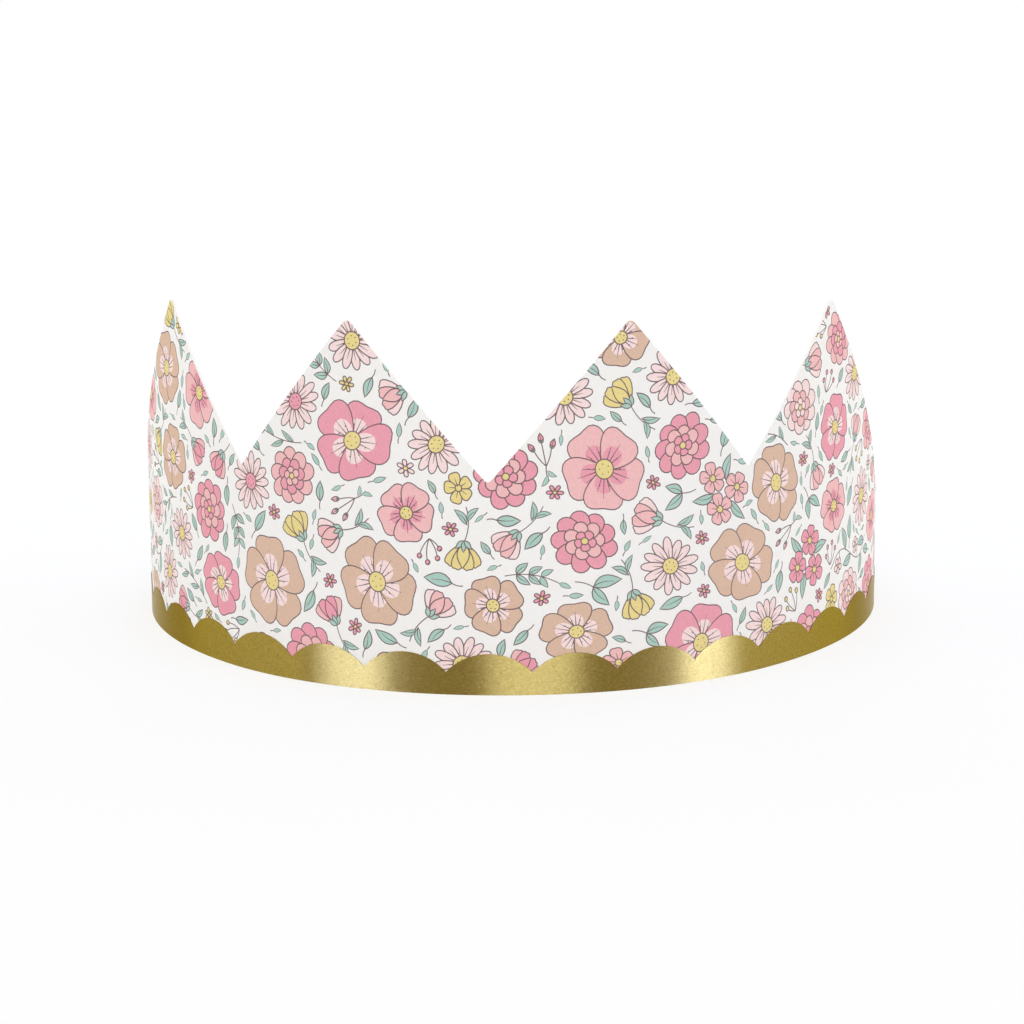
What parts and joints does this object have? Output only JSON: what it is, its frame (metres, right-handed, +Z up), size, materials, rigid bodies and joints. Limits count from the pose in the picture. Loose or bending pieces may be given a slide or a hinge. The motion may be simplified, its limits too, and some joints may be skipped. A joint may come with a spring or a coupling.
{
  "type": "paper party crown",
  "caption": "Die-cut card crown with pointed front, gold scalloped border and a low back strap that closes with interlocking slits, worn on the head.",
  "frame": {"origin": "middle of the ring at the level of its lower edge", "axes": "+Z up towards the points, front with the points towards -Y, closure of the strap at +Y"},
  "size_m": [0.1768, 0.2008, 0.0787],
  "materials": {
    "printed_card": "matt printed card, small flowers on pale warm grey outside, plain white inside",
    "gold_foil": "satin gold foil"
  },
  "bodies": {
    "root": {"crown_card": "printed_card", "foil_border": "gold_foil"}
  },
  "joints": []
}
